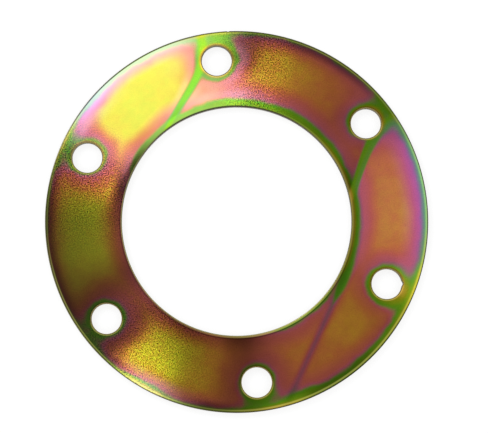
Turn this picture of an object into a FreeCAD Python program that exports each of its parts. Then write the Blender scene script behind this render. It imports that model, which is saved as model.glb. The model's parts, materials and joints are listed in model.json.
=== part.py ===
import FreeCAD, Part
import math
import os

# A laser cut steel flange: one flat ring of sheet with a large bore and bolt holes on one circle.
# It lies flat. The origin is at the centre of its underside, and +Z runs up the axis of the bore.

# Driving dimensions, in millimetres and degrees
BORE_DIAMETER = 99.0
# How far the bolt circle stands out from the wall of the bore, and the outer edge from that circle
BORE_TO_BOLT_CIRCLE = 20.5
BOLT_CIRCLE_TO_EDGE = 12.5
THICKNESS = 4.0
BOLT_HOLE_DIAMETER = 13.0
BOLT_HOLE_COUNT = 6
FIRST_HOLE_ANGLE = 90.0
# The outer edge and the bore are brushed round on both faces, and the bolt holes countersunk a
# little, to take the burr off
RIM_RADIUS = 0.4
HOLE_CHAMFER = 0.4

# The beam starts and ends a contour at one place, where it can leave a shallow hollow in the wall.
# The floor of this start mark is one arc. A shoulder on each side is rounder than the rim's round
# or chamfer by the spare radius, so that the rim runs on round it.
OUTER_MARK_ANGLE = 85.5
OUTER_MARK_DEPTH = 0.25
OUTER_MARK_FLOOR_RADIUS = 0.3
OUTER_MARK_SPARE_RADIUS = 0.2
# One bolt hole shows its mark, turned from the line that runs from the bore's axis to the hole
MARKED_HOLE_NUMBER = 4
HOLE_MARK_TURN = 25.0
HOLE_MARK_DEPTH = 0.5
HOLE_MARK_FLOOR_RADIUS = 1.2
HOLE_MARK_SPARE_RADIUS = 1.1

# Sizes that follow
BOLT_CIRCLE_RADIUS = BORE_DIAMETER / 2 + BORE_TO_BOLT_CIRCLE
OUTER_RADIUS = BOLT_CIRCLE_RADIUS + BOLT_CIRCLE_TO_EDGE
HOLE_PITCH = 360.0 / BOLT_HOLE_COUNT
HOLE_REACH = BOLT_HOLE_DIAMETER / 2 + HOLE_MARK_DEPTH

UP = FreeCAD.Vector(0, 0, 1)
BORE_CENTRE = FreeCAD.Vector(0, 0, 0)
# The side of a contour that the metal is on, along the radius from the contour's centre
METAL_INSIDE = -1
METAL_OUTSIDE = 1


def polar(centre, radius, angle):
    """The point in the plane of the underside at this distance and angle in degrees from centre."""
    turn = math.radians(angle)
    return centre + FreeCAD.Vector(radius * math.cos(turn), radius * math.sin(turn), 0)


def round_contour(centre, radius):
    """A contour that the beam closes without a trace: a plain circle."""
    return Part.Wire([Part.Circle(centre, UP, radius).toShape()])


def marked_contour(centre, radius, metal_side, angle, depth, floor_radius, shoulder_radius):
    """A circle with a start mark at this angle: two round shoulders and a floor, all tangent."""
    floor_distance = radius + metal_side * (depth - floor_radius)
    shoulder_distance = radius + metal_side * shoulder_radius
    centre_gap = floor_radius + shoulder_radius
    # The law of cosines, in the triangle of the contour's, the floor's and a shoulder's centres
    cosine = (floor_distance**2 + shoulder_distance**2 - centre_gap**2) / (
        2 * floor_distance * shoulder_distance
    )
    half_angle = math.degrees(math.acos(cosine))
    floor_centre = polar(centre, floor_distance, angle)
    floor_middle = polar(centre, radius + metal_side * depth, angle)

    shoulders = []
    for side in (-1, 1):
        shoulder_centre = polar(centre, shoulder_distance, angle + side * half_angle)
        circle_end = polar(centre, radius, angle + side * half_angle)
        floor_end = floor_centre + (shoulder_centre - floor_centre) * (floor_radius / centre_gap)
        halfway = (circle_end + floor_end) / 2 - shoulder_centre
        shoulder_middle = shoulder_centre + halfway.normalize() * shoulder_radius
        shoulders.append((circle_end, shoulder_middle, floor_end))

    right, left = shoulders
    arcs = [
        Part.Arc(*right),
        Part.Arc(right[-1], floor_middle, left[-1]),
        Part.Arc(*reversed(left)),
        Part.Arc(left[0], polar(centre, radius, angle + 180), right[0]),
    ]
    return Part.Wire([edge.toShape() for edge in arcs])


def outer_contour():
    """The edge of the blank, with the trace that the beam left where it closed the cut."""
    return marked_contour(
        BORE_CENTRE,
        OUTER_RADIUS,
        METAL_INSIDE,
        OUTER_MARK_ANGLE,
        OUTER_MARK_DEPTH,
        OUTER_MARK_FLOOR_RADIUS,
        RIM_RADIUS + OUTER_MARK_SPARE_RADIUS,
    )


def bolt_hole_contours():
    """The bolt holes, evenly spaced on their circle, one of them with its start mark."""
    contours = []
    for number in range(BOLT_HOLE_COUNT):
        angle = FIRST_HOLE_ANGLE + number * HOLE_PITCH
        centre = polar(BORE_CENTRE, BOLT_CIRCLE_RADIUS, angle)
        if number == MARKED_HOLE_NUMBER:
            contour = marked_contour(
                centre,
                BOLT_HOLE_DIAMETER / 2,
                METAL_OUTSIDE,
                angle + HOLE_MARK_TURN,
                HOLE_MARK_DEPTH,
                HOLE_MARK_FLOOR_RADIUS,
                HOLE_CHAMFER + HOLE_MARK_SPARE_RADIUS,
            )
        else:
            contour = round_contour(centre, BOLT_HOLE_DIAMETER / 2)
        contours.append(contour)
    return contours


def is_rim(edge):
    """Whether an edge of the plate lies flat in one of its two faces."""
    return edge.BoundBox.ZLength < THICKNESS / 2


def is_hole_rim(edge):
    """Whether a rim belongs to a bolt hole: it is within a hole's reach of the bolt circle."""
    point = edge.Vertexes[0].Point
    from_bolt_circle = abs(math.hypot(point.x, point.y) - BOLT_CIRCLE_RADIUS)
    return is_rim(edge) and from_bolt_circle <= HOLE_REACH


def flange_plate():
    """The blank that the laser cuts from the sheet, with the burr taken off all its rims."""
    bore = round_contour(BORE_CENTRE, BORE_DIAMETER / 2)
    blank = Part.Face([outer_contour(), bore] + bolt_hole_contours(), "Part::FaceMakerBullseye")
    plate = blank.extrude(UP * THICKNESS)
    large_rims = [edge for edge in plate.Edges if is_rim(edge) and not is_hole_rim(edge)]
    rounded = plate.makeFillet(RIM_RADIUS, large_rims)
    hole_rims = [edge for edge in rounded.Edges if is_hole_rim(edge)]
    return rounded.makeChamfer(HOLE_CHAMFER, hole_rims)


os.makedirs("parts", exist_ok=True)
flange_plate().exportStep("parts/flange_plate.step")
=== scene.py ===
import json
import math

import bpy
from mathutils import Matrix, Vector


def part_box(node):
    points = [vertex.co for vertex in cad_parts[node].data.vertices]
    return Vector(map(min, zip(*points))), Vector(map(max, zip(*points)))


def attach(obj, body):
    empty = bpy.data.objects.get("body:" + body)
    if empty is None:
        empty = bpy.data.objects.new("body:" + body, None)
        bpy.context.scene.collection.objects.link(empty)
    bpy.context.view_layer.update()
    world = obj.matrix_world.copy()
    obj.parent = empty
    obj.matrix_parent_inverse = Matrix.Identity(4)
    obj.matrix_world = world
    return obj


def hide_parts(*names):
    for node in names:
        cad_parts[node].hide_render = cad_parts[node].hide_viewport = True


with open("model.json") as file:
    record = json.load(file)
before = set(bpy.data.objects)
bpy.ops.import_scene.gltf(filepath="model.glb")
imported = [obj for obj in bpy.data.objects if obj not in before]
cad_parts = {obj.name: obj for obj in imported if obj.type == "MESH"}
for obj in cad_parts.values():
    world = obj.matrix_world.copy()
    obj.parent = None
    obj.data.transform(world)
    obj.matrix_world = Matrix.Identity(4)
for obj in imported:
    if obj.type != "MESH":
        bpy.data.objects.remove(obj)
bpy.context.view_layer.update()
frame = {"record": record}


# The flange plate: one ring of steel sheet, cut by laser in one go. Its outer edge and bore are brushed
# round on both faces and its bolt holes countersunk a little, to take the burr off. Two contours keep the
# shallow hollow where the beam started.
plate_low, plate_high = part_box("flange_plate")
mounts = {mount["name"]: mount for mount in frame["record"]["mounts"]}
thickness = plate_high.z - plate_low.z
bore_radius = mounts["centre_bore"]["dims"]["r_mm"] / 1000
bolt_circle_radius = mounts["bolt_circle"]["dims"]["pcd_mm"] / 2000
bolt_hole_radius = mounts["bolt_circle"]["dims"]["hole_r_mm"] / 1000
bolt_holes = mounts["bolt_circle"]["dims"]["count"]
bolt_circle_to_edge = 0.0125
outer_radius = bolt_circle_radius + bolt_circle_to_edge
edge_size = 0.0004
first_hole_turn = math.radians(90)
marked_hole = 4


class Socket:
    """An output of a node tree. Python's operators on it add Math nodes, and node() adds any other."""

    def __init__(self, tree, output):
        self.tree = tree
        self.output = output

    def node(self, kind, settings=None, values=None, out=0):
        """Adds a node: its settings come first, then the values or links of its input sockets."""
        node = self.tree.nodes.new(kind)
        for name, setting in (settings or {}).items():
            if name == "stops":
                lay_stops(node.color_ramp, setting)
            else:
                setattr(node, name, setting)
        for name, value in (values or {}).items():
            if isinstance(value, Socket):
                self.tree.links.new(value.output, node.inputs[name])
            else:
                node.inputs[name].default_value = value
        return Socket(self.tree, node.outputs[out])

    def math(self, operation, *others, **settings):
        """Adds a Math node with these inputs, in order."""
        return self.node("ShaderNodeMath", {"operation": operation, **settings}, dict(enumerate(others)))

    def __add__(self, other):
        return self.math("ADD", self, other)

    def __radd__(self, other):
        return self.math("ADD", other, self)

    def __sub__(self, other):
        return self.math("SUBTRACT", self, other)

    def __rsub__(self, other):
        return self.math("SUBTRACT", other, self)

    def __mul__(self, other):
        return self.math("MULTIPLY", self, other)

    def __rmul__(self, other):
        return self.math("MULTIPLY", other, self)

    def __truediv__(self, other):
        return self.math("DIVIDE", self, other)

    def __pow__(self, power):
        return self.math("POWER", self, power)

    def __neg__(self):
        return self.math("MULTIPLY", self, -1.0)

    def __abs__(self):
        return self.math("ABSOLUTE", self)

    def clamped(self):
        """The value held between 0 and 1."""
        return self.math("ADD", self, 0.0, use_clamp=True)

    def hump(self, width, power=2):
        """1 where this value is 0, and little past the width. A higher power levels the middle."""
        return self.math("EXPONENT", -((self / width) ** power))

    def steps(self, low, high):
        """0 below low, 1 above high, and a soft step between them. The step falls where low is above high."""
        settings = {"interpolation_type": "SMOOTHSTEP"}
        if low < high:
            return self.node("ShaderNodeMapRange", settings, {0: self, 1: low, 2: high, 3: 0.0, 4: 1.0})
        return self.node("ShaderNodeMapRange", settings, {0: self, 1: high, 2: low, 3: 1.0, 4: 0.0})

    def towards(self, other, share):
        """This value, moved towards another by a share from 0 to 1."""
        return self + (other - self) * share

    def changed(self, *shares):
        """This value with one share of it after another added, or taken off where the share is negative."""
        value = self
        for share in shares:
            value = value * (1 + share)
        return value

    def nearer(self, other, blend):
        """The smaller of two distances, rounded off where they differ by less than blend."""
        return self.math("SMOOTH_MIN", self, other, blend)

    def scaled(self, colour):
        """A colour as strong as this value, from three numbers or another socket."""
        return self.node("ShaderNodeVectorMath", {"operation": "SCALE"}, {0: colour, "Scale": self})

    def added(self, colour):
        """This colour with another added to it."""
        return self.node("ShaderNodeVectorMath", {"operation": "ADD"}, {0: self, 1: colour})

    def blend(self, first, second):
        """The first colour where this value is 0, and the second where it is 1."""
        return self.node("ShaderNodeMix", {"data_type": "RGBA"}, {0: self, 6: first, 7: second}, 2)


def lay_stops(ramp, stops):
    """Gives a colour ramp its (place, colour) stops, in order."""
    while len(ramp.elements) < len(stops):
        ramp.elements.new(1.0)
    for element, (place, colour) in zip(ramp.elements, stops):
        element.position = place
        element.color = (*colour, 1.0)


# The surfaces that the plate shows: the coloured faces, the brushed rims and the cut walls. The faces and
# rims have painted sheen in their base colour. Their materials get their nodes in the sections below.
face_film_and_sheen_finish = bpy.data.materials.new("passivated_face_painted_sheen")
rim_painted_sheen_finish = bpy.data.materials.new("brushed_rim_painted_sheen")
wall_finish = bpy.data.materials.new("laser_cut_wall")

ring_tree = bpy.data.node_groups.new("cut_ring", "GeometryNodeTree")
ring_tree.interface.new_socket("Plate", in_out="OUTPUT", socket_type="NodeSocketGeometry")
ring_values = {
    "Outer Radius": outer_radius,
    "Bore Radius": bore_radius,
    "Bolt Circle Radius": bolt_circle_radius,
    "Bolt Hole Radius": bolt_hole_radius,
    "Thickness": thickness,
    "Edge Size": edge_size,
    "First Hole Turn": first_hole_turn,
    "Bolt Holes": bolt_holes,
    "Marked Hole": marked_hole,
}
identifiers = {}
for name, value in ring_values.items():
    kind = "NodeSocketInt" if isinstance(value, int) else "NodeSocketFloat"
    new_input = ring_tree.interface.new_socket(name, in_out="INPUT", socket_type=kind)
    identifiers[name] = new_input.identifier
entry = ring_tree.nodes.new("NodeGroupInput")
given = {name: Socket(ring_tree, entry.outputs[name]) for name in ring_values}


def ring_node(kind, settings=None, values=None, out=0):
    """Adds any node to the ring's tree."""
    return Socket(ring_tree, None).node(kind, settings, values, out)


def cut_contour(
    radius, metal_side, columns, edge_steps, mark=None, mark_depth=0.0, mark_half_width=0.001, crowd=0.0
):
    """The outline that a contour leaves in a face, and its wall with a rim at both faces.

    metal_side is -1 where the metal lies inside the contour and 1 where it lies round it. One edge step
    gives a chamfer and more give a round. The columns crowd together near a start mark.
    """
    edge = given["Edge Size"]

    def around(share):
        """The angle and the radius of a column, from its share of the way round, -0.5 to 0.5."""
        turn = (share * (1 - crowd) + share**3 * (4 * crowd)) * math.tau
        if mark is None:
            return turn, radius
        away = abs(turn) * radius
        hollow = away.node(
            "ShaderNodeMapRange",
            {"interpolation_type": "SMOOTHSTEP"},
            {0: away, 1: 0.0, 2: mark_half_width, 3: mark_depth, 4: 0.0},
        )
        return turn + mark, radius + hollow * metal_side

    def placed(geometry, turn, reach, height):
        """Moves each point to its turn, its distance from the contour's centre and its height."""
        place = ring_node(
            "ShaderNodeCombineXYZ",
            None,
            {0: turn.math("COSINE", turn) * reach, 1: turn.math("SINE", turn) * reach, 2: height},
        )
        return ring_node("GeometryNodeSetPosition", None, {"Geometry": geometry, "Position": place})

    index = ring_node("GeometryNodeInputIndex")
    circle = ring_node("GeometryNodeCurvePrimitiveCircle", None, {"Resolution": columns})
    turn, reach = around(index / columns - 0.5)
    outline = placed(circle, turn, reach + edge * metal_side, 0.0)

    wall_steps = 3
    rows = 2 * edge_steps + wall_steps
    grid = ring_node(
        "GeometryNodeMeshGrid",
        None,
        {"Size X": 1.0, "Size Y": 1.0, "Vertices X": columns + 1, "Vertices Y": rows + 1},
    )
    place = ring_node("GeometryNodeInputPosition")
    across = ring_node("ShaderNodeSeparateXYZ", None, {0: place}, 0)
    up = ring_node("ShaderNodeSeparateXYZ", None, {0: place}, 1)
    turn, reach = around(across * -metal_side)
    row = (up + 0.5) * rows
    lower = (row / edge_steps).clamped() * (math.pi / 2)
    middle = ((row - edge_steps) / wall_steps).clamped()
    upper = ((row - edge_steps - wall_steps) / edge_steps).clamped() * (math.pi / 2)
    inset = edge * (2 - lower.math("SINE", lower) - upper.math("COSINE", upper))
    height = (
        edge * (1 - lower.math("COSINE", lower))
        + (given["Thickness"] - 2 * edge) * middle
        + edge * upper.math("SINE", upper)
    )
    wall = placed(grid, turn, reach + inset * metal_side, height)
    rim_slope = 0.6
    slope = ring_node("ShaderNodeSeparateXYZ", None, {0: ring_node("GeometryNodeInputNormal")}, 2)
    upright = ring_node(
        "FunctionNodeCompare",
        {"data_type": "FLOAT", "operation": "LESS_THAN"},
        {0: abs(slope), 1: rim_slope},
    )
    wall = ring_node("GeometryNodeSetMaterial", None, {"Geometry": wall, "Material": rim_painted_sheen_finish})
    wall = ring_node(
        "GeometryNodeSetMaterial", None, {"Geometry": wall, "Selection": upright, "Material": wall_finish}
    )
    return outline, wall


outer_outline, outer_wall = cut_contour(
    given["Outer Radius"],
    -1,
    columns=1200,
    edge_steps=6,
    mark=math.radians(85.5),
    mark_depth=0.00025,
    mark_half_width=0.00062,
    crowd=0.75,
)
bore_outline, bore_wall = cut_contour(given["Bore Radius"], 1, columns=600, edge_steps=6)
hole_outline, hole_wall = cut_contour(given["Bolt Hole Radius"], 1, columns=96, edge_steps=1)
marked_outline, marked_wall = cut_contour(
    given["Bolt Hole Radius"],
    1,
    columns=120,
    edge_steps=1,
    mark=math.radians(25),
    mark_depth=0.0005,
    mark_half_width=0.0015,
    crowd=0.5,
)

hole_number = ring_node("GeometryNodeInputIndex")
hole_points = ring_node("GeometryNodePoints", None, {"Count": given["Bolt Holes"]})
hole_turn = given["First Hole Turn"] + hole_number / given["Bolt Holes"] * math.tau
hole_place = ring_node(
    "ShaderNodeCombineXYZ",
    None,
    {
        0: hole_turn.math("COSINE", hole_turn) * given["Bolt Circle Radius"],
        1: hole_turn.math("SINE", hole_turn) * given["Bolt Circle Radius"],
    },
)
hole_points = ring_node("GeometryNodeSetPosition", None, {"Geometry": hole_points, "Position": hole_place})
hole_rotation = ring_node("ShaderNodeCombineXYZ", None, {2: hole_turn})
is_marked = ring_node(
    "FunctionNodeCompare",
    {"data_type": "INT", "operation": "EQUAL"},
    {2: hole_number, 3: given["Marked Hole"]},
)
is_plain = ring_node("FunctionNodeBooleanMath", {"operation": "NOT"}, {0: is_marked})


def at_holes(shape, chosen):
    """Places a shape at the chosen holes of the bolt circle, turned to face away from the bore."""
    return ring_node(
        "GeometryNodeInstanceOnPoints",
        None,
        {"Points": hole_points, "Selection": chosen, "Instance": shape, "Rotation": hole_rotation},
    )


def joined(*shapes):
    """Joins shapes and makes their instances real."""
    node = ring_tree.nodes.new("GeometryNodeJoinGeometry")
    for shape in shapes:
        ring_tree.links.new(shape.output, node.inputs[0])
    everything = Socket(ring_tree, node.outputs[0])
    return everything.node("GeometryNodeRealizeInstances", None, {"Geometry": everything})


outlines = joined(
    outer_outline, bore_outline, at_holes(hole_outline, is_plain), at_holes(marked_outline, is_marked)
)
sheet_face = ring_node("GeometryNodeFillCurve", {"mode": "TRIANGLES"}, {"Curve": outlines})
sheet_face = ring_node("GeometryNodeSetMaterial", None, {"Geometry": sheet_face, "Material": face_film_and_sheen_finish})
underside = ring_node("GeometryNodeFlipFaces", None, {"Mesh": sheet_face})
top_lift = ring_node("ShaderNodeCombineXYZ", None, {2: given["Thickness"]})
top_face = ring_node("GeometryNodeTransform", None, {"Geometry": sheet_face, "Translation": top_lift})
plate = joined(
    top_face,
    underside,
    outer_wall,
    bore_wall,
    at_holes(hole_wall, is_plain),
    at_holes(marked_wall, is_marked),
)
weld_distance = 0.000002
plate = ring_node("GeometryNodeMergeByDistance", None, {"Geometry": plate, "Distance": weld_distance})
plate = ring_node("GeometryNodeSetShadeSmooth", None, {"Geometry": plate, "Shade Smooth": True})
sharp_fold = math.radians(25)
fold = ring_node("GeometryNodeInputMeshEdgeAngle")
is_sharp = ring_node(
    "FunctionNodeCompare",
    {"data_type": "FLOAT", "operation": "GREATER_THAN"},
    {0: fold, 1: sharp_fold},
)
plate = ring_node(
    "GeometryNodeSetShadeSmooth",
    {"domain": "EDGE"},
    {"Geometry": plate, "Selection": is_sharp, "Shade Smooth": False},
)
way_out = ring_tree.nodes.new("NodeGroupOutput")
ring_tree.links.new(plate.output, way_out.inputs["Plate"])

blank = bpy.data.objects.new("blank", bpy.data.meshes.new("blank"))
bpy.context.scene.collection.objects.link(blank)
ring = blank.modifiers.new("cut_ring", "NODES")
ring.node_group = ring_tree
for name, value in ring_values.items():
    ring[identifiers[name]] = value
ready = blank.evaluated_get(bpy.context.evaluated_depsgraph_get())
plate_mesh = bpy.data.meshes.new_from_object(ready)
bpy.data.objects.remove(blank)

# The tree leaves an empty material slot in front, which goes
shown_materials = [material for material in plate_mesh.materials if material]
shown_numbers = [
    shown_materials.index(plate_mesh.materials[each.material_index]) for each in plate_mesh.polygons
]
plate_mesh.materials.clear()
for material in shown_materials:
    plate_mesh.materials.append(material)
plate_mesh.polygons.foreach_set("material_index", shown_numbers)
coloured_plate = bpy.data.objects.new("coloured_plate", plate_mesh)
bpy.context.scene.collection.objects.link(coloured_plate)
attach(coloured_plate, "root")
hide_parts("flange_plate")


# What the three finishes of the plate start from: where a place lies on the ring. The film and the brush
# follow the ring's own edges, so their patterns are told by an angle and by the distance from an edge.
class Surface:
    """The nodes of a material that say where a place is, with lengths in millimetres."""

    def __init__(self, material):
        material.use_nodes = True
        self.tree = material.node_tree
        self.shader = self.tree.nodes["Principled BSDF"]
        coordinates = self.tree.nodes.new("ShaderNodeTexCoord")
        place = Socket(self.tree, coordinates.outputs["Object"])
        self.place = place.node("ShaderNodeVectorMath", {"operation": "SCALE"}, {0: place, "Scale": 1000.0})
        self.x = self.place.node("ShaderNodeSeparateXYZ", None, {0: self.place}, 0)
        self.y = self.place.node("ShaderNodeSeparateXYZ", None, {0: self.place}, 1)
        self.z = self.place.node("ShaderNodeSeparateXYZ", None, {0: self.place}, 2)
        self.from_centre = (self.x * self.x + self.y * self.y) ** 0.5
        # The underside has run marks of its own: the same ones, turned by two holes
        under = self.z.math("LESS_THAN", self.z, thickness * 1000 / 2)
        self.raw_angle = self.y.math("ARCTAN2", self.y, self.x) * (180 / math.pi)
        self.angle = self.raw_angle + under * (2 * 360 / bolt_holes)
        self.from_edge = outer_radius * 1000 - self.from_centre
        self.from_bore = self.from_centre - bore_radius * 1000
        # From 0 at the outer edge to 1 at the bore
        self.inward = (self.from_edge / ((outer_radius - bore_radius) * 1000)).clamped()

    def turned(self, centre):
        """How far round the ring a place is from an angle, in degrees from -180 to 180."""
        return self.angle.math("WRAP", self.angle - centre, 180.0, -180.0)

    def bell(self, centre, width):
        """A soft hump round an angle."""
        return self.turned(centre).hump(width)

    def sector(self, centre, width):
        """A sector of the ring with a level middle and soft ends."""
        return self.turned(centre).hump(width, 4)

    def run_mark(self, start, swing, power):
        """Distance from the middle of a run mark, which leaves the rim at one angle and swings round."""
        middle = self.inward**power * swing + start
        return self.from_centre * self.turned(middle) * (math.pi / 180)

    def noise(self, size, detail=2.0, roughness=0.5, stretch=None):
        """Noise whose features are this many millimetres across, from 0 to 1."""
        place = self.place
        if stretch is not None:
            place = place.node("ShaderNodeVectorMath", {"operation": "MULTIPLY"}, {0: place, 1: stretch})
        values = {"Vector": place, "Scale": 1.0 / size, "Detail": detail, "Roughness": roughness}
        return place.node("ShaderNodeTexNoise", None, values)

    def set(self, **values):
        """Links or sets the shader's inputs."""
        for name, value in values.items():
            target = self.shader.inputs[name.replace("_", " ")]
            if isinstance(value, Socket):
                self.tree.links.new(value.output, target)
            else:
                target.default_value = value


# The two faces: zinc plated and yellow passivated. The passivation is a clear film a few tenths of a
# micrometre thick, so it shows interference colours: yellow where it is thinnest, then orange, red, violet,
# green and olive where the bath stood on it for longer, round the holes, along the rims and in run marks.
thinnest = -0.1
thickest = 1.2
film_colours = [
    (thinnest, (0.80, 0.92, 0.04)),
    (0.00, (0.96, 0.88, 0.04)),
    (0.12, (0.95, 0.66, 0.045)),
    (0.25, (0.92, 0.43, 0.05)),
    (0.38, (0.86, 0.26, 0.07)),
    (0.50, (0.80, 0.18, 0.12)),
    (0.60, (0.76, 0.17, 0.21)),
    (0.68, (0.60, 0.19, 0.25)),
    (0.75, (0.42, 0.25, 0.19)),
    (0.81, (0.25, 0.37, 0.11)),
    (0.88, (0.12, 0.52, 0.03)),
    (0.97, (0.22, 0.48, 0.015)),
    (1.08, (0.42, 0.43, 0.012)),
    (thickest, (0.75, 0.45, 0.05)),
]
film_range = thickest - thinnest
ramp_stops = [((order - thinnest) / film_range, colour) for order, colour in film_colours]


def film_colour(order):
    """The interference colour of a film, from its thickness on the scale of the colours above."""
    return order.node("ShaderNodeValToRGB", {"stops": ramp_stops}, {0: (order - thinnest) / film_range})


# Places are told by their angle: the right is at 0, and the bolt holes are at 90, 150, 210, 270, 330 and 30
face = Surface(face_film_and_sheen_finish)
bell = face.bell
sector = face.sector
from_edge = face.from_edge
from_bore = face.from_bore
inward = face.inward
outward = 1 - inward

# How far a place is from the wall of the nearest bolt hole, and how far below the hole's centre it lies
hole_pitch = 360 / bolt_holes
bolt_circle = bolt_circle_radius * 1000
from_first_hole = face.angle - math.degrees(first_hole_turn)
spoke = face.angle.math("WRAP", from_first_hole, hole_pitch / 2, -hole_pitch / 2) * (math.pi / 180)
along = face.from_centre * spoke.math("COSINE", spoke) - bolt_circle
beside = face.from_centre * spoke.math("SINE", spoke)
hole_distance = (along * along + beside * beside) ** 0.5
from_hole = hole_distance - bolt_hole_radius * 1000
spoke_turn = face.raw_angle * (math.pi / 180) - spoke
below_hole = (bolt_circle * spoke_turn.math("SINE", spoke_turn) - face.y) / hole_distance

# The run marks, where the bath drained off: two swing from the outer edge round to the bore, and the third,
# at the lower right, is straight
right_run = face.run_mark(25.9, -22.5, 2.7)
top_run = face.run_mark(93.9, 27, 2.9)
low_run = 0.85 * face.x - 0.527 * face.y - 52.5
down_low_run = -0.527 * face.x - 0.85 * face.y - 15.5
right_line = right_run.hump(2.6, 4)
top_line = top_run.hump(2.2, 4)
low_line = low_run.hump(1.55) * sector(297, 28)

# Parts of the ring that the light and the bath treated alike. Their ends wander a little.
face.angle = face.angle + 9 * (face.noise(13, detail=3.0) - 0.5)
main_sheen = sector(115.5, 31 + 11 * inward)
right_side = sector(-3, 32) * right_run.steps(1.5, -1.5)
upper_side = sector(45, 38) * right_run.steps(-1.5, 1.5)
low_side = sector(299, 26)
left_side = sector(193, 32)
low_left_side = bell(233, 13)
pale_side = sector(116, 25)

# How far a place is from where the bath stood longest: the necks between the holes and the outer edge, a band
# along the bore on the right, and the run marks. Below 0 it stood there.
rim_band = (
    1.3
    + 2.0 * sector(307, 30)
    + 1.9 * bell(283, 7)
    + 1.9 * bell(234, 8)
    + 0.9 * pale_side
    + 0.5 * sector(8, 26)
    - 0.4 * sector(190, 25)
)
hole_band = (
    1.7
    - 1.5 * bell(22, 5)
    + 1.8 * bell(82, 6) * outward.steps(0.50, 0.62)
    + 0.8 * bell(96, 6)
    + 0.7 * bell(144, 4)
    - 0.8 * bell(156, 4)
    - 0.5 * bell(265, 5)
    + 1.0 * bell(324, 6)
)
neck = (from_edge - rim_band).nearer(from_hole - hole_band, 13)
bore_band = 5.7 + 0.8 * sector(345, 28) + 0.8 * bell(88, 15) + 0.9 * sector(46, 25)
bore_band = bore_band * abs(face.turned(56)).steps(104, 84)
bore_band = bore_band.math("MAXIMUM", bore_band, 4.8 * sector(300, 26)) - 3.0
wander = face.noise(7, detail=3.0) - 0.5
pool = neck.nearer(from_bore - bore_band, 3) + 2.5 * wander
right_pool = abs(right_run) - 2.5 + 0.9 * outward.steps(0.5, 0.9)
top_pool = abs(top_run) - 1.5 - 1.5 * inward
low_fade = 5 * down_low_run.steps(-10, 12) + 9 * (1 - sector(318, 24))
low_pool = abs(low_run) - 1.9 + low_fade
stood = pool.nearer(right_pool, 4).nearer(top_pool, 4).nearer(low_pool, 3)

# The film away from the pools. It is thinnest in the upper left, on the left and in the lower left.
film = (
    0.39
    - 0.20 * bell(68, 11)
    + 0.06 * bell(83, 5)
    - 0.42 * sector(121, 22)
    - 0.12 * bell(143, 6)
    - 0.41 * sector(176, 24)
    - 0.38 * bell(234, 17)
    - 0.13 * bell(312, 13)
    - 0.07 * bell(353, 13)
    + 0.25 * (face.noise(16, detail=2.0) - 0.5)
    + 0.12 * (face.noise(3.5, detail=4.0) - 0.5)
)
film = film.math("MAXIMUM", film, thinnest)

# It grows towards a pool, over a reach in millimetres, to what it is at the pool's border
outer_reach = (
    7.5
    - 2.0 * pale_side
    - 1.5 * bell(113, 8)
    - 3.5 * sector(200, 18)
    - 3.0 * low_left_side
    - 2.5 * bell(322, 8)
)
inner_reach = (
    12.5
    + 4.0 * bell(12, 6)
    - 2.0 * pale_side
    - 2.5 * bell(129, 9)
    + 4.5 * bell(163, 7)
    + 6.0 * left_side
    + 5.0 * low_left_side
)
reach = outer_reach.towards(inner_reach, inward)
border = (
    0.58
    + outward * (0.12 * right_side + 0.22 * bell(134, 8) - 0.22 * sector(183, 24) - 0.12 * low_left_side)
    + inward * (0.06 * bell(84, 8) - 0.18 * bell(95, 8) - 0.08 * bell(129, 9))
    - 0.12 * pale_side
    - 0.10 * bell(263, 10)
    - 0.05 * low_side
    - 0.09 * bell(324, 9)
    + 0.09 * stood.steps(2.2, 0.6) * (1 - main_sheen)
)
film = film.towards(border, ((pool - 0.2) / (reach - 0.2)).steps(1, 0))

# The straight run mark is violet, because the bath stood in it for less time
low_film = 0.69 + 0.10 * inward**3 + 0.12 * outward.steps(0.72, 0.88)
film = film.towards(low_film, 0.85 * low_line * inward.steps(0.04, 0.16))

# Painted sheen: how much light a place seems to send back, painted into the base colour. It is brightest in
# the upper left, on the right and in the lower left.
painted_sheen = (
    0.11
    + 0.79 * main_sheen
    + 0.40 * right_side
    + 0.16 * upper_side
    + 0.18 * low_side
    + 0.08 * bell(72, 8)
    + 0.38 * bell(84, 6) * inward.steps(0.4, 0.75)
    + 0.14 * bell(143, 6)
    + 0.20 * bell(158, 8) * (0.5 + inward)
    + 0.52 * face.turned(220).steps(-4, 4) * bell(229, 12.5) * (1.64 - 1.68 * inward)
    + 0.10 * bell(253, 9)
    + 0.10 * bell(273, 8) * outward**2
    + inward * (0.16 * bell(69, 14) + 0.06 * upper_side + 0.16 * left_side + 0.04 * low_side)
)
painted_sheen = painted_sheen.changed(0.25 * right_side * outward**2, -0.5 * sector(-12, 34) * from_bore.steps(6, 1.5))
painted_sheen = painted_sheen.towards(0.36, right_line)
top_line_sheen = 0.85 - 0.35 * outward.steps(0.6, 0.8) - 0.4 * inward.steps(0.7, 0.9)
painted_sheen = painted_sheen.changed(top_line_sheen * top_line, -0.22 * low_line)

# Painted highlight and painted shade in stretches along the outer edge, which the brush turned down a little
painted_shade_edge = (sector(55, 20) + 0.8 * sector(178, 27) + bell(255, 7) + 0.8 * sector(296, 13)).clamped()
painted_sheen = painted_sheen.changed(
    -0.55 * painted_shade_edge * from_edge.steps(5.5, 2.0),
    0.65 * bell(146, 7) * from_edge.steps(4.0, 2.0),
    -0.45 * bell(222, 5) * from_edge.steps(5.5, 3),
    0.7 * bell(234, 8) * from_edge.steps(3.0, 1.2),
    0.6 * bell(278, 9) * from_edge.steps(4.5, 1.5),
    0.25 * sector(325, 14) * from_edge.steps(3.5, 1.5),
    0.6 * right_side * from_edge.steps(1.8, 0.8),
)
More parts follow.
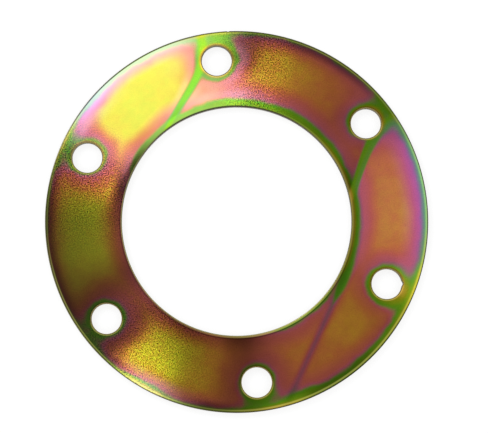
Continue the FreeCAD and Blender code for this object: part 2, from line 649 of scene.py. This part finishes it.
# The same along the bore
painted_sheen = painted_sheen.changed(
    -0.16 * bell(38, 10) * inward.steps(0.3, 0.6),
    0.3 * bell(94, 14) * from_bore.steps(5, 3),
    0.35 * bell(113, 12) * from_bore.steps(3.5, 2.5),
    -0.75 * bell(143, 10) * from_bore.steps(3.5, 1.5),
    -0.85 * bell(157, 13) * from_bore.steps(8, 2.0),
    -0.5 * bell(265, 14) * from_bore.steps(9, 0),
)
# And beside the holes at 90 and 330, and across the left
painted_sheen = painted_sheen.changed(
    -0.35 * bell(77, 4) * outward.steps(0.35, 0.6),
    -0.35 * bell(82, 4) * outward.steps(0.5, 0.7),
    0.8 * bell(89, 7) * outward.steps(0.66, 0.80) * stood.steps(1.5, 0.0),
    0.4 * bell(331, 7) * outward.steps(0.6, 0.75),
    -0.18 * sector(183, 20),
    -0.35 * bell(200, 9),
)
painted_sheen = painted_sheen * (0.88 + 0.24 * face.noise(5, detail=5.0, roughness=0.6))

# Painted glare: a white veil of reflected light over the brightest places: along the outer edge in the upper
# left, beside the upper run mark, and along the outer edge in the lower left
glare_along_edge = from_edge.steps(8, 1.5) * (1 - 0.95 * bell(90, 10)) * (1 - bell(148, 8))
glare_along_bore = from_bore.steps(11, 6) * from_bore.steps(2, 5) * face.turned(122).steps(8, -8)
peach_glare = (0.02 * bell(86, 10) + 0.07 * bell(97, 7)) * inward.steps(0.45, 0.7) * from_bore.steps(2.5, 5)
pale_glare_border = stood.steps(6, 2) * stood.steps(0.0, 1.2) * from_edge.steps(4, 8)
painted_glare = (
    main_sheen**2 * (0.07 + 0.46 * glare_along_edge + 0.12 * glare_along_bore)
    + 0.12 * main_sheen * pale_glare_border * face.turned(112).steps(8, -8)
    + peach_glare
    + 0.06 * bell(101, 7) * outward.steps(0.4, 0.8)
    + 0.02 * sector(112, 20) * from_bore.steps(5, 3)
    + 0.14 * bell(142, 5) * from_edge.steps(2, 3.5) * from_edge.steps(9, 5)
    + 0.05 * bell(143, 6) * from_edge.steps(3, 6)
    + 0.18 * bell(235, 8) * from_edge.steps(9, 4)
    + 0.005 * left_side
)
painted_glare = painted_glare.changed(-0.9 * bell(144, 10) * from_bore.steps(3.5, 1.5), -0.8 * top_line)

# Painted shade: dark lines where the brush turned the face down into the rims: round most of the bore, along
# the outer edge in the upper left, and on the upper left of each bolt hole
painted_shade_bore = 0.55 * (from_bore - 0.85 - 0.50 * sector(278, 60)).hump(0.28) * (1 - sector(70, 75))
painted_shade_top = 0.55 * sector(92, 40) * from_bore.steps(0.8, 0.55)
painted_shade_hole = 0.45 * below_hole.steps(0.3, -0.4) * from_hole.steps(1.1, 0.6)
painted_shade_pale = sector(117, 32) * from_edge.steps(0.85, 0.55)
painted_sheen = painted_sheen.changed(-painted_shade_bore, -painted_shade_top, -painted_shade_hole, -0.65 * painted_shade_pale)
painted_glare = painted_glare.changed(-0.9 * painted_shade_pale)

# The grain of the zinc, which shows most where bright and dark parts meet
speckle = (
    0.08
    - 0.05 * main_sheen
    + 0.95 * bell(75, 12)
    + 1.0 * bell(155, 11)
    + 0.42 * bell(172, 12)
    + 0.85 * bell(228, 18)
)
grain = face.noise(0.5, detail=2.0, roughness=0.6) - 0.5
painted_sheen = painted_sheen * (1 + 7.0 * speckle * grain)
film = film + 0.45 * speckle * (face.noise(1.1, detail=2.0, roughness=0.6) - 0.5)

# The film in the pools: green, then olive and orange towards the edge of the metal
olive_side = sector(0, 50) + 0.7 * bell(273, 11)
olive_edge = (
    olive_side * (1 - 0.8 * sector(8, 30)) + 0.5 * sector(90, 12) + 0.7 * bell(150, 7) + 0.5 * bell(276, 10)
)
olive_hole = olive_side + 1.3 * sector(92, 14) + 1.2 * bell(147, 6)
thick_film = (
    0.92
    + 0.06 * pool.steps(0.2, -1.8)
    + 0.05 * right_line * from_hole.steps(0, 5)
    + 0.03 * top_line * outward
    + 0.04 * bell(145, 8)
    + 0.16 * olive_edge * from_edge.steps(2.4, 0.6)
    + 0.16 * bell(234, 9) * from_edge.steps(2.6, 1.2)
    + 0.18 * sector(0, 36) * from_bore.steps(2.4, 0.9)
    + 0.16 * olive_hole * from_hole.steps(1.7, 0.2)
    + 0.12 * bell(28, 6) * from_hole.steps(3.0, 1.0) * outward.steps(0.5, 0.7)
    + 0.16 * bell(330, 5) * from_hole.steps(5.0, 1.5) * outward.steps(0.6, 0.8)
    + 0.3 * speckle * (face.noise(1.4, detail=2.0) - 0.5)
)
shown_film = stood.steps(1.0, -0.8).blend(film_colour(film), film_colour(thick_film))

# A blue cast over the borders of the bright parts, which turns their pink to lilac
lilac = (
    right_side * sector(4, 24) * (0.02 * from_bore.steps(2.5, 5) + 0.15 * from_edge.steps(13, 3))
    + 0.26 * bell(135, 9) * from_edge.steps(12, 3)
)

# Painted highlights: bright lines beside the rims, along the outer edge, the right of the bore and the lower
# right of each hole
inner_line = sector(296, 36)
edge_highlight = (from_edge - 0.25 * inner_line).steps(1.4, 0.85) * from_edge.steps(0.5, 0.85)
edge_highlight = edge_highlight * (
    (0.09 + 0.13 * inner_line) * (1 - sector(117, 32))
    + 0.07 * sector(52, 18)
    + 0.22 * bell(87, 7)
    + 0.22 * bell(143, 7)
    + 0.12 * sector(205, 20)
    + 0.60 * bell(234, 8)
)
edge_highlight_tint = sector(8, 28).blend((1.0, 0.95, 0.25, 1.0), (0.45, 1.0, 0.40, 1.0))
bore_highlight = from_bore.steps(1.2, 0.8) * (0.10 + 0.15 * bell(285, 30)) * sector(-28, 110)
hole_highlight = 0.20 * from_hole.steps(0.95, 0.6) * below_hole.steps(-0.1, 0.6)

face_colour = painted_sheen.scaled(shown_film).added(painted_glare.scaled((1.0, 0.90, 0.98)))
face_colour = face_colour.added(lilac.scaled((0.0, 0.0, 1.0)))
face_colour = face_colour.added(edge_highlight.scaled(edge_highlight_tint))
face_colour = face_colour.added((bore_highlight + hole_highlight).scaled((1.0, 0.92, 0.25)))
white = (1.0, 1.0, 1.0)
face_colour = face_colour.node("ShaderNodeVectorMath", {"operation": "MINIMUM"}, {0: face_colour, 1: white})
pores = face.noise(0.5, detail=3.0)
face_bump = pores.node("ShaderNodeBump", None, {"Height": pores, "Strength": 0.15, "Distance": 0.00002})
face.set(Base_Color=face_colour, Metallic=1.0, Roughness=0.30 + 0.12 * grain, Normal=face_bump)


# The rims: brushed round after the cut. Their base colour is a painted reflection, a line of light from gold
# to pale green, brighter or darker round the ring and dark at the top of the bore. The hole chamfers are dark
# too.
rim = Surface(rim_painted_sheen_finish)
bore_part = rim.from_bore.steps(3, 2)
hole_part = abs(rim.from_centre - bolt_circle).steps(9.0, 8.0)
edge_painted_sheen = (
    0.12
    - 0.04 * rim.sector(112, 42)
    + 0.20 * rim.bell(150, 8)
    + 0.06 * rim.sector(198, 22)
    - 0.08 * rim.sector(325, 60)
)
bore_painted_sheen = 0.20 + 0.14 * rim.sector(210, 50) + 0.24 * rim.bell(290, 26)
rim_painted_sheen = edge_painted_sheen.towards(bore_painted_sheen, bore_part)
rim_painted_sheen = rim_painted_sheen * (1 - 0.8 * bore_part * rim.sector(88, 42)) * (0.8 + 0.4 * rim.noise(1.5, detail=3.0))
green_share = rim.sector(0, 40) * (1 - bore_part)
rim_tint = green_share.blend((1.0, 0.92, 0.36, 1.0), (0.62, 1.0, 0.36, 1.0))
rim_colour = hole_part.blend(rim_painted_sheen.scaled(rim_tint), (0.50, 0.40, 0.15, 1.0))
rim.set(Base_Color=rim_colour, Metallic=1.0, Roughness=0.3)


# The cut walls: what the laser melted. They are dark, and the beam leaves fine upright grooves.
wall = Surface(wall_finish)
grooves = wall.noise(0.35, detail=2.0, stretch=(1.0, 1.0, 0.08))
wall_bump = grooves.node("ShaderNodeBump", None, {"Height": grooves, "Strength": 0.5, "Distance": 0.0001})
wall_colour = grooves.blend((0.03, 0.02, 0.004, 1.0), (0.10, 0.07, 0.018, 1.0))
wall.set(Base_Color=wall_colour, Metallic=1.0, Roughness=0.45, Normal=wall_bump)


# The floor: a pale table top, which the plate lies flat on. A hair lies between them, so that they don't
# fight where the underside is looked at.
floor_half = 3.0
floor_height = -0.00005
floor_mesh = bpy.data.meshes.new("floor")
floor_corners = [(-1, -1), (1, -1), (1, 1), (-1, 1)]
floor_corners = [(x * floor_half, y * floor_half, floor_height) for x, y in floor_corners]
floor_mesh.from_pydata(floor_corners, [], [(0, 1, 2, 3)])
floor = bpy.data.objects.new("floor", floor_mesh)
bpy.context.scene.collection.objects.link(floor)
floor_finish = bpy.data.materials.new("pale_floor")
floor_mesh.materials.append(floor_finish)
floor_finish.use_nodes = True
floor_tree = floor_finish.node_tree
floor_shader = floor_tree.nodes["Principled BSDF"]
floor_shader.inputs["Base Color"].default_value = (0.25, 0.25, 0.25, 1.0)
floor_shader.inputs["Roughness"].default_value = 1.0
floor_shader.inputs["Specular IOR Level"].default_value = 0.0
floor_shader.inputs["Emission Color"].default_value = (1.0, 1.0, 1.0, 1.0)
light_path = floor_tree.nodes.new("ShaderNodeLightPath")
seen = Socket(floor_tree, light_path.outputs["Is Camera Ray"])
for kind in ("Is Glossy Ray", "Is Transmission Ray"):
    seen = seen + Socket(floor_tree, light_path.outputs[kind])
glow = seen.clamped() * 0.80
floor_tree.links.new(glow.output, floor_shader.inputs["Emission Strength"])
# Seen from below, the floor is clear and shows the underside of the plate
below = Socket(floor_tree, floor_tree.nodes.new("ShaderNodeNewGeometry").outputs["Backfacing"])
clear = Socket(floor_tree, floor_tree.nodes.new("ShaderNodeBsdfTransparent").outputs[0])
pale = Socket(floor_tree, floor_shader.outputs[0])
floor_surface = below.node("ShaderNodeMixShader", None, {0: below, 1: pale, 2: clear})
floor_tree.links.new(floor_surface.output, floor_tree.nodes["Material Output"].inputs["Surface"])


# The light: a white studio, darker towards the horizon, with one broad soft lamp over the upper left.
world = bpy.data.worlds.new("studio")
bpy.context.scene.world = world
world.use_nodes = True
sky_tree = world.node_tree
sky_place = Socket(sky_tree, sky_tree.nodes.new("ShaderNodeTexCoord").outputs["Generated"])
sky_height = sky_place.node("ShaderNodeSeparateXYZ", None, {0: sky_place}, 2)
horizon_strength = 0.5
sky_strength = horizon_strength + (1 - horizon_strength) * sky_height.steps(0.1, 0.8)
background = sky_tree.nodes["Background"]
background.inputs["Color"].default_value = (1.0, 1.0, 1.0, 1.0)
sky_tree.links.new(sky_strength.output, background.inputs["Strength"])

lamp = bpy.data.lights.new("soft_lamp", "AREA")
lamp.shape = "DISK"
lamp.size = 0.5
lamp.energy = 2.0
lamp_object = bpy.data.objects.new("soft_lamp", lamp)
lamp_object.location = (-0.45, 0.55, 0.75)
lamp_object.rotation_euler = (-lamp_object.location).to_track_quat("-Z", "Y").to_euler()
bpy.context.scene.collection.objects.link(lamp_object)


# The camera: almost straight above the plate, a little towards its lower side, which shows the far walls
# of the holes.
picture_width = 488
lens_in_pixels = 2502
view_turn = math.radians(-7.1)
picture_right = Vector((math.cos(view_turn), math.sin(view_turn), 0))
picture_up = Vector((-math.sin(view_turn), math.cos(view_turn), 0))
camera_height = 1.077
camera_step_back = 0.090
aim_right = 0.00317
aim_up = 0.00214
aim = picture_right * aim_right + picture_up * aim_up
camera_data = bpy.data.cameras.new("camera")
camera_data.sensor_fit = "HORIZONTAL"
camera_data.sensor_width = 36.0
camera_data.lens = camera_data.sensor_width * lens_in_pixels / picture_width
camera_data.clip_start = 0.01
camera = bpy.data.objects.new("camera", camera_data)
bpy.context.scene.collection.objects.link(camera)
camera.location = Vector((0, 0, camera_height)) - picture_up * camera_step_back
looking = (aim - camera.location).normalized()
camera_right = looking.cross(picture_up).normalized()
camera_up = camera_right.cross(looking)
camera_axes = Matrix((camera_right, camera_up, -looking)).transposed()
camera.matrix_world = Matrix.Translation(camera.location) @ camera_axes.to_4x4()
bpy.context.scene.camera = camera
bpy.context.scene.view_settings.view_transform = "Standard"
